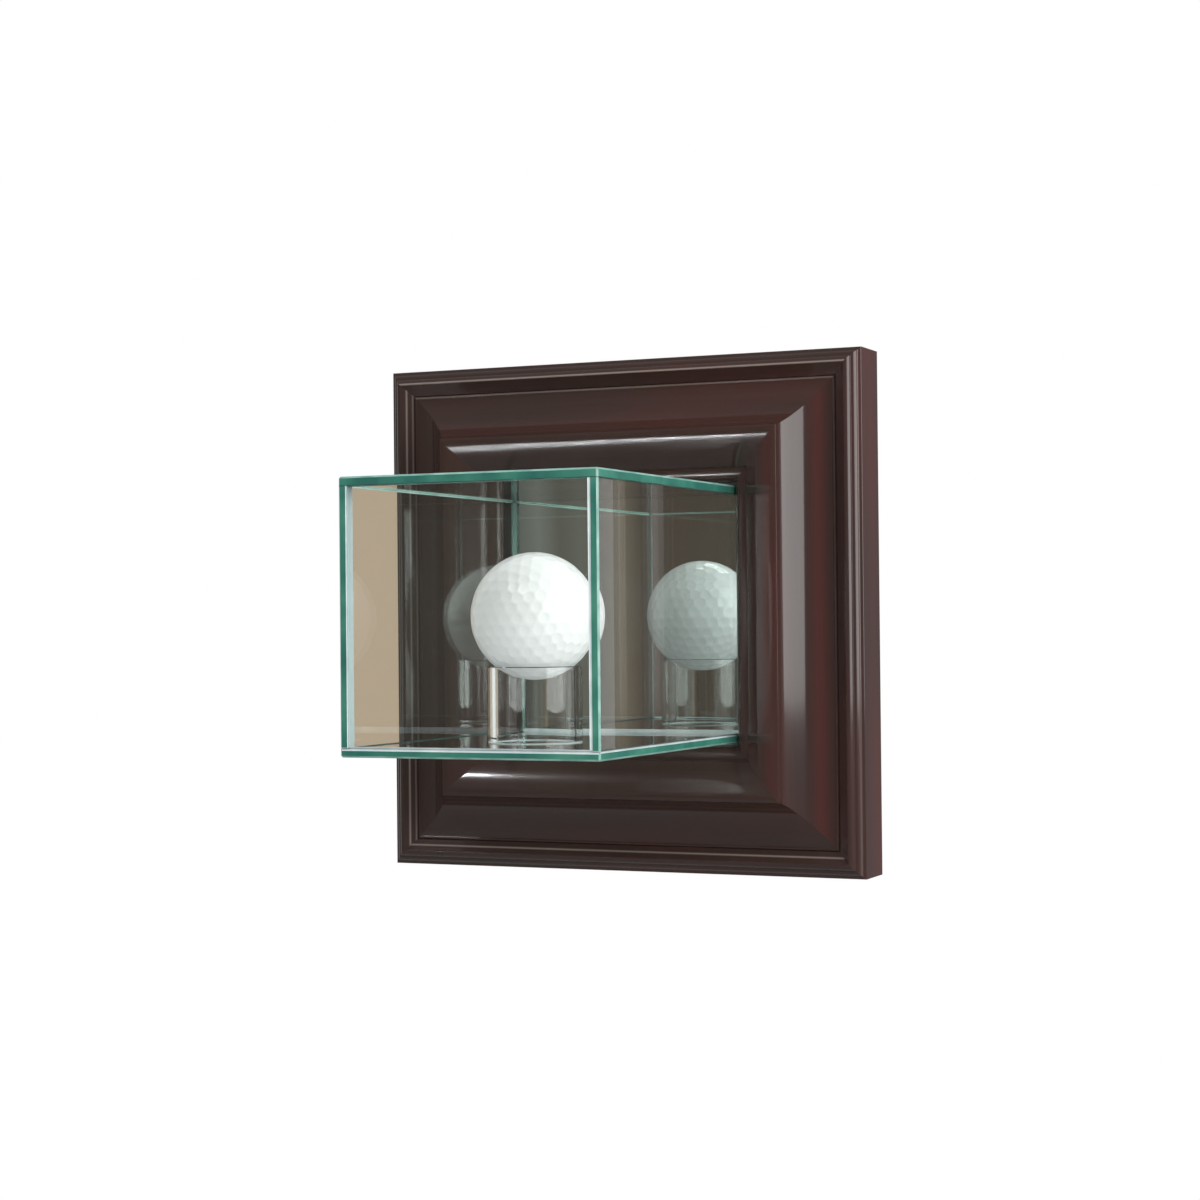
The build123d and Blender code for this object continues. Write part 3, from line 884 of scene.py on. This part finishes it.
def make_world():
    """White to the camera; the glass and the lacquer show a dim warm room in front, in upright stripes.

    Through glass there is white and the tan wall behind the case. Gloss shows dim tones behind and overhead.
    """
    world = bpy.data.worlds.new("studio")
    bpy.context.scene.world = world
    world.use_nodes = True
    tree = world.node_tree
    tree.nodes.clear()
    direction = node(tree, "ShaderNodeTexCoord").outputs["Generated"]
    x, y, z = node(tree, "ShaderNodeSeparateXYZ", {0: direction}).outputs
    first, last = ROOM_STRIPES[0][0], ROOM_STRIPES[-1][0]
    stops = [((place - first) / (last - first), tone) for place, tone in ROOM_STRIPES]
    room = ramp(tree, faded(tree, x, (first, last)), stops)
    behind = faded(tree, y, BEHIND_FADE, shape="SMOOTHSTEP")
    toward = node(tree, "ShaderNodeVectorMath", {0: direction, 1: TAN_WALL}, operation="DOT_PRODUCT")
    backdrop = mixed(tree, faded(tree, toward.outputs["Value"], WALL_FADE), WHITE, TAN)
    through = mixed(tree, behind, room, backdrop)
    back = mixed(tree, faded(tree, x, LEFT_FADE), BEHIND_RIGHT, BEHIND_LEFT)
    around = mixed(tree, behind, room, back)
    gloss = mixed(tree, faded(tree, z, OVERHEAD_FADE), around, OVERHEAD)
    path = node(tree, "ShaderNodeLightPath").outputs
    light = mixed(tree, path["Is Glossy Ray"], DAYLIGHT, gloss)
    glass = mixed(tree, path["Is Transmission Ray"], light, through)
    final = mixed(tree, path["Is Camera Ray"], glass, WHITE)
    background = node(tree, "ShaderNodeBackground", {"Color": final, "Strength": 1.0})
    node(tree, "ShaderNodeOutputWorld", {"Surface": background.outputs[0]})


def make_floor():
    """A pale floor well below the case: plain white to the camera and through glass, and dim in gloss."""
    made, tree = new_material("floor_paint")
    paint = principled(tree, Base_Color=(0.8, 0.8, 0.8, 1), Roughness=0.7)
    white = node(tree, "ShaderNodeEmission", {"Color": WHITE, "Strength": 1.0})
    dim = node(tree, "ShaderNodeEmission", {"Color": WHITE, "Strength": FLOOR_IN_GLOSS})
    path = node(tree, "ShaderNodeLightPath").outputs
    direct = worked_out(tree, "LESS_THAN", path["Glossy Depth"], 0.5)  # no mirror on the way
    through = worked_out(tree, "MULTIPLY", path["Is Transmission Ray"], direct)
    seen = worked_out(tree, "MAXIMUM", path["Is Camera Ray"], through)
    mirrored = worked_out(tree, "MAXIMUM", path["Is Transmission Ray"], path["Is Glossy Ray"])
    surface(tree, either(tree, seen, either(tree, mirrored, paint, dim), white))
    corners = ((-1, -1), (1, -1), (1, 1), (-1, 1))
    points = [(x * FLOOR_REACH, y * FLOOR_REACH, FLOOR_LEVEL) for x, y in corners]
    floor = new_piece("floor", None, points, [(0, 1, 2, 3)], [made])


# ================================================================ the case
bpy.context.scene.view_settings.view_transform = "Standard"
WOOD_GRAIN = grain_group()

make_camera()
make_world()
make_floor()
key = soft_box("key_right", **KEY)
soft_box("fill_front", azimuth=-5, elevation=45, distance=2.0, size=(0.9, 0.6), power=9.5, glossy=False)

routed = bare_wood()
for count, side in enumerate(SIDES):
    turn = 0 if side in ("top", "bottom") else pi / 2
    tones = RED if side == "right" else BROWN
    make_rail(side, lacquered_wood(f"lacquered_{side}", turn, GRAIN_SHIFT * count, tones), routed)

soft_box(
    "slot_low_left", azimuth=-29, elevation=-35, distance=2.0, size=(0.6, 0.36), power=5.5,
    only="top_moulding",
)
soft_box(
    "slot_high_left", azimuth=-46.5, elevation=47.0, distance=2.0, size=(0.08, 0.09), power=1.6,
    only="bottom_moulding",
)
# The left rail has the key's light but not its reflection.
soft_box("key_matt", **KEY, only="left_moulding", glossy=False)
shade_from(key, "left_moulding")

GLASS = {
    "clear": clear_material("clear_glass", (0.955, 0.985, 0.972), (0.94, 0.97, 0.96), ior=1.5),
    "green": ground_glass(
        "green_edge", (0.030, 0.150, 0.120), (0.042, 0.205, 0.150), (0.075, 0.280, 0.200),
        inside=(0.30, 0.42, 0.39), scale=60, rough=0.18,
    ),
    "arris": ground_glass(
        "ground_arris", (0.17, 0.36, 0.30), (0.25, 0.46, 0.40), (0.34, 0.56, 0.49),
        inside=(0.30, 0.45, 0.40), scale=160, rough=0.3,
    ),
    # Painted light: this pale tone stands in for light that shines through the bonded edges.
    "bright": ground_glass(
        "bright_bond", (0.58, 0.68, 0.68), (0.68, 0.76, 0.76), (0.80, 0.86, 0.86),
        inside=(0.55, 0.66, 0.66), scale=120, rough=0.25,
    ),
    "dim": ground_glass(
        "dim_bond", (0.045, 0.095, 0.080), (0.06, 0.13, 0.11), (0.09, 0.18, 0.15),
        inside=(0.05, 0.09, 0.08), scale=90, rough=0.25,
    ),
    # Painted light: this pale blue stands in for light that shines through these edges.
    "blue": ground_glass(
        "back_edge", (0.40, 0.60, 0.62), (0.48, 0.68, 0.70), (0.58, 0.78, 0.80),
        inside=(0.50, 0.72, 0.75), scale=70, rough=0.25,
    ),
    "soft": ground_glass(
        "soft_edge", (0.22, 0.36, 0.32), (0.27, 0.42, 0.37), (0.34, 0.48, 0.43),
        inside=(0.30, 0.45, 0.40), scale=70, rough=0.25,
    ),
}
make_pane("top_pane", (0, 0, 0), {
    (X, 0, 0): CLOSED, (X, 1, 0): CLOSED, (Y, 0, 0): CLOSED, (Y, 0, 1): CLOSED,
}, {(Y, 1): "soft"})
make_pane("bottom_pane", (0, 0, 0), {
    (X, 0, 1): (0.8, "bright"), (X, 1, 1): (1.5, "bright"),
    (Y, 1, 0): (0.2, "dim"), (Y, 1, 1): (0.55, "bright"),
}, {(Y, 1): "blue"})
for side, inner, back_joint, top_joint in (
    ("left", 1, (1.5, "soft"), (0.5, "soft")), ("right", 0, (1.2, "bright"), CLOSED),
):
    make_pane(f"{side}_pane", (0, 0, BOND), {
        (Z, inner, 0): (0.4, "bright"), (Z, inner, 1): back_joint, (X, 0, 1): CLOSED, (X, 1, 1): CLOSED,
        (Y, 1, 0): CLOSED, (Y, 1, 1): top_joint, (X, 0, 0): (0.2, "bright"), (X, 1, 0): CLOSED,
        (Y, 0, 0): (0.2, "dim"), (Y, 0, 1): (0.2, "dim"),
    }, {(Z, 0): "dim", (Z, 1): "dim", (Y, 1): "blue"})
make_pane("front_pane", (BOND, 0, BOND), {
    (Z, 0, 0): (0.3, "bright"), (Z, 1, 0): (0.5, "bright"),
    (Z, 0, 1): (1.2, "bright"), (Z, 1, 1): (0.4, "bright"),
    (X, 0, 1): CLOSED, (X, 1, 1): (0.3, "soft"), (X, 0, 0): (0.55, "bright"), (X, 1, 0): CLOSED,
    (Y, 0, 0): CLOSED, (Y, 0, 1): CLOSED, (Y, 1, 0): CLOSED, (Y, 1, 1): CLOSED,
}, {(X, 0): "blue", (X, 1): "blue", (Z, 0): "dim", (Z, 1): "dim"})

back_paint = plain_finish(
    "mirror_back_paint", (0.20, 0.21, 0.22), (0.14, 0.15, 0.16), scale=90, rough=0.45, bump=0.1
)
make_mirror(mirror_silver(), GLASS["green"], back_paint, GLASS["bright"])
acrylic = clear_material("clear_acrylic", (0.985, 0.99, 0.99), (0.97, 0.98, 0.98), ior=1.49)
make_riser(acrylic, GLASS["bright"])
cover = plain_finish("ball_cover", (0.90, 0.90, 0.90), (0.87, 0.87, 0.87), scale=40, rough=0.35, coat=0.6)
make_ball(cover)

# Light that the mirror and the floor pane throw back onto the ball
for name, azimuth, elevation, power in (("mirror_bounce", 160, 10, 0.8), ("floor_bounce", 10, -58, 0.4)):
    soft_box(
        name, azimuth, elevation, distance=0.5, size=(0.2, 0.2), power=power, only="dimpled_ball",
        glossy=False,
    )

FINISHES = {
    "glazing_seal": clear_material(
        "clear_silicone", (0.75, 0.76, 0.75), (0.5, 0.5, 0.5), ior=1.41, rough=0.35
    ),
    "backing_board": plain_finish(
        "hardboard", (0.30, 0.185, 0.10), (0.19, 0.11, 0.06), scale=420, rough=0.8, bump=0.35
    ),
    "corner_v_nails": plain_finish(
        "steel_nail", (0.34, 0.34, 0.35), (0.22, 0.22, 0.23), scale=300, rough=0.45, bump=0.1, metallic=1.0
    ),
}
zinc = plain_finish(
    "zinc_plate", (0.68, 0.68, 0.66), (0.50, 0.50, 0.50), scale=160, rough=0.32, bump=0.08, metallic=1.0
)
screw = plain_finish(
    "zinc_screw", (0.72, 0.71, 0.67), (0.55, 0.55, 0.52), scale=500, rough=0.28, bump=0.05, metallic=1.0
)
for name in [f"turn_button_{side}" for side in SIDES] + ["hanger_plate_left", "hanger_plate_right"]:
    FINISHES[name] = zinc
for name in ("turn_button_screws", "hanger_screws"):
    FINISHES[name] = screw
for name, finish in FINISHES.items():
    cad_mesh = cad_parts[name].data
    cad_mesh.materials.clear()
    cad_mesh.materials.append(finish)
